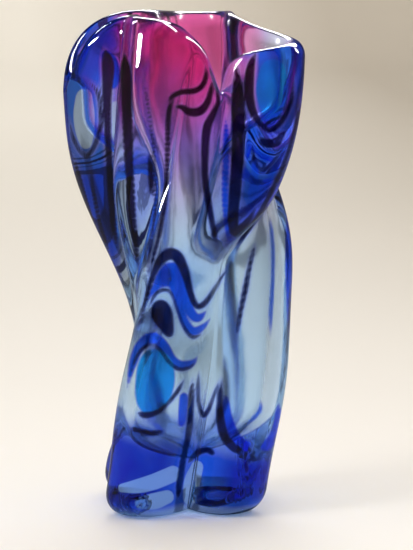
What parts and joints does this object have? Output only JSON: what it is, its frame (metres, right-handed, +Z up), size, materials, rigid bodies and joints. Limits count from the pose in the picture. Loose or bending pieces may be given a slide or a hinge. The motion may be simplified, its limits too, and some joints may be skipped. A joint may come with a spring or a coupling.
{
  "type": "art glass vase",
  "caption": "Free-standing vase of thick twisted glass, with pulled ear-like folds round an open mouth and a flat ground base on rounded lobes.",
  "frame": {"origin": "centre of the ground base, on the surface that the vase stands on", "axes": "+Z up through the mouth, -Y to the front, where the rim dips deepest"},
  "size_m": [0.1298, 0.1165, 0.268],
  "materials": {
    "cased_glass": "polished clear cobalt glass, running into ruby round the mouth"
  },
  "bodies": {
    "root": {"vase_body": "cased_glass"}
  },
  "joints": []
}
